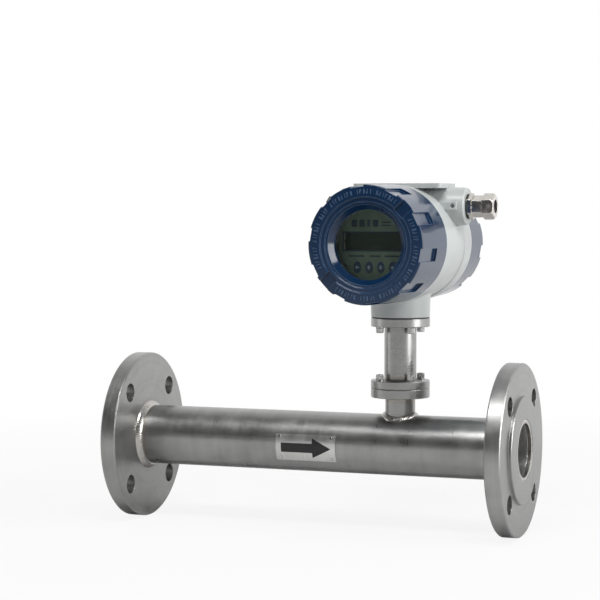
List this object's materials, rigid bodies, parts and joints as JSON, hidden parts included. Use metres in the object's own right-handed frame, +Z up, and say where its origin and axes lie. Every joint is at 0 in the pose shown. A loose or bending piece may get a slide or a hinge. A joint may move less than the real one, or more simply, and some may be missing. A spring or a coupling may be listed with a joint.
{
  "type": "thermal mass flow meter",
  "caption": "Inline gas flow meter: a flanged stainless pipe with a heated probe pair on a necked branch, under a two-compartment transmitter head with a display window.",
  "frame": {"origin": "centre of the inlet flange's raised face, on the pipe's axis", "axes": "+X along the pipe the way the gas flows, +Z up along the neck, -Y the way the display looks"},
  "size_m": [0.396, 0.199, 0.3246],
  "materials": {
    "stainless_tube": "brushed along its length, faint grey",
    "stainless_turned": "turned, satin",
    "weld_bead": "rippled bead, bright",
    "screw_steel": "bright stainless fasteners",
    "probe_steel": "polished",
    "plate_steel": "thin stainless sheet with a black arrow",
    "grey_paint": "light grey paint on cast aluminium",
    "blue_paint": "navy blue gloss paint on cast aluminium",
    "nickel": "nickel-plated brass",
    "steel_trim": "plated steel",
    "aluminium_trim": "plain aluminium",
    "black_rubber": "black nitrile rubber",
    "plug_plastic": "dark grey moulded nylon",
    "window_glass": "clear toughened glass",
    "faceplate_film": "printed grey-green film",
    "lcd_glass": "dark green liquid crystal cell",
    "key_plastic": "navy blue moulded keys",
    "circuit_board": "green solder mask on glass epoxy",
    "switch_plastic": "black moulded switches",
    "terminal_plastic": "moulded terminal block"
  },
  "bodies": {
    "root": {"flow_tube": "stainless_tube", "inlet_flange": "stainless_turned", "outlet_flange": "stainless_turned", "flange_welds": "weld_bead", "branch_nozzle": "stainless_tube", "branch_weld": "weld_bead", "branch_flange": "stainless_turned", "branch_o_ring": "black_rubber", "sensor_flange": "stainless_turned", "neck_screws": "screw_steel", "neck_washers": "screw_steel", "probe_stem": "stainless_turned", "heated_probe": "probe_steel", "reference_probe": "probe_steel", "neck_tube": "stainless_tube", "head_plate": "stainless_turned", "head_gasket": "black_rubber", "head_screws": "screw_steel", "head_washers": "screw_steel", "housing_body": "grey_paint", "ground_screw": "screw_steel", "faceplate": "faceplate_film", "lcd_frame": "steel_trim", "lcd_panel": "lcd_glass", "display_board": "circuit_board", "key_switches": "switch_plastic", "faceplate_spacers": "steel_trim", "upper_standoffs": "steel_trim", "lower_standoffs": "steel_trim", "display_screws": "screw_steel", "main_board": "circuit_board", "terminal_block": "terminal_plastic", "terminal_screws": "screw_steel", "block_screws": "screw_steel", "earth_screw": "screw_steel", "gland_washer": "black_rubber", "gland_body": "nickel", "gland_insert": "black_rubber", "gland_nut": "nickel", "plug_washer": "black_rubber", "blanking_plug": "plug_plastic", "arrow_plate": "plate_steel", "arrow_rivets": "screw_steel"},
    "front_ring": {"front_cover_o_ring": "black_rubber"},
    "front_cover": {"front_cover": "blue_paint", "window_glass": "window_glass", "window_gasket": "black_rubber", "window_ring": "aluminium_trim"},
    "rear_ring": {"rear_cover_o_ring": "black_rubber"},
    "rear_cover": {"rear_cover": "blue_paint"},
    "key_1": {"key_1": "key_plastic"},
    "key_2": {"key_2": "key_plastic"},
    "key_3": {"key_3": "key_plastic"},
    "key_4": {"key_4": "key_plastic"}
  },
  "joints": [
    {"name": "front_advance", "type": "slide", "parent": "root", "child": "front_ring", "axis": [0, -1, 0], "range_m": [0, 0.012]},
    {"name": "front_turn", "type": "hinge", "parent": "front_ring", "child": "front_cover", "pos_m": [0.276, -0.05, 0.189], "axis": [0, -1, 0], "range_deg": [0, 2160]},
    {"name": "rear_advance", "type": "slide", "parent": "root", "child": "rear_ring", "axis": [0, 1, 0], "range_m": [0, 0.012]},
    {"name": "rear_turn", "type": "hinge", "parent": "rear_ring", "child": "rear_cover", "pos_m": [0.276, 0.05, 0.189], "axis": [0, 1, 0], "range_deg": [0, 2160]},
    {"name": "key_1_press", "type": "slide", "parent": "root", "child": "key_1", "axis": [0, 1, 0], "range_m": [0, 0.0005], "stiffness_N_per_m": 3000},
    {"name": "key_2_press", "type": "slide", "parent": "root", "child": "key_2", "axis": [0, 1, 0], "range_m": [0, 0.0005], "stiffness_N_per_m": 3000},
    {"name": "key_3_press", "type": "slide", "parent": "root", "child": "key_3", "axis": [0, 1, 0], "range_m": [0, 0.0005], "stiffness_N_per_m": 3000},
    {"name": "key_4_press", "type": "slide", "parent": "root", "child": "key_4", "axis": [0, 1, 0], "range_m": [0, 0.0005], "stiffness_N_per_m": 3000}
  ],
  "couplings": [
    {"joint": "front_advance", "follows": "front_turn", "m_per_rad": 0.0003183},
    {"joint": "rear_advance", "follows": "rear_turn", "m_per_rad": 0.0003183}
  ]
}
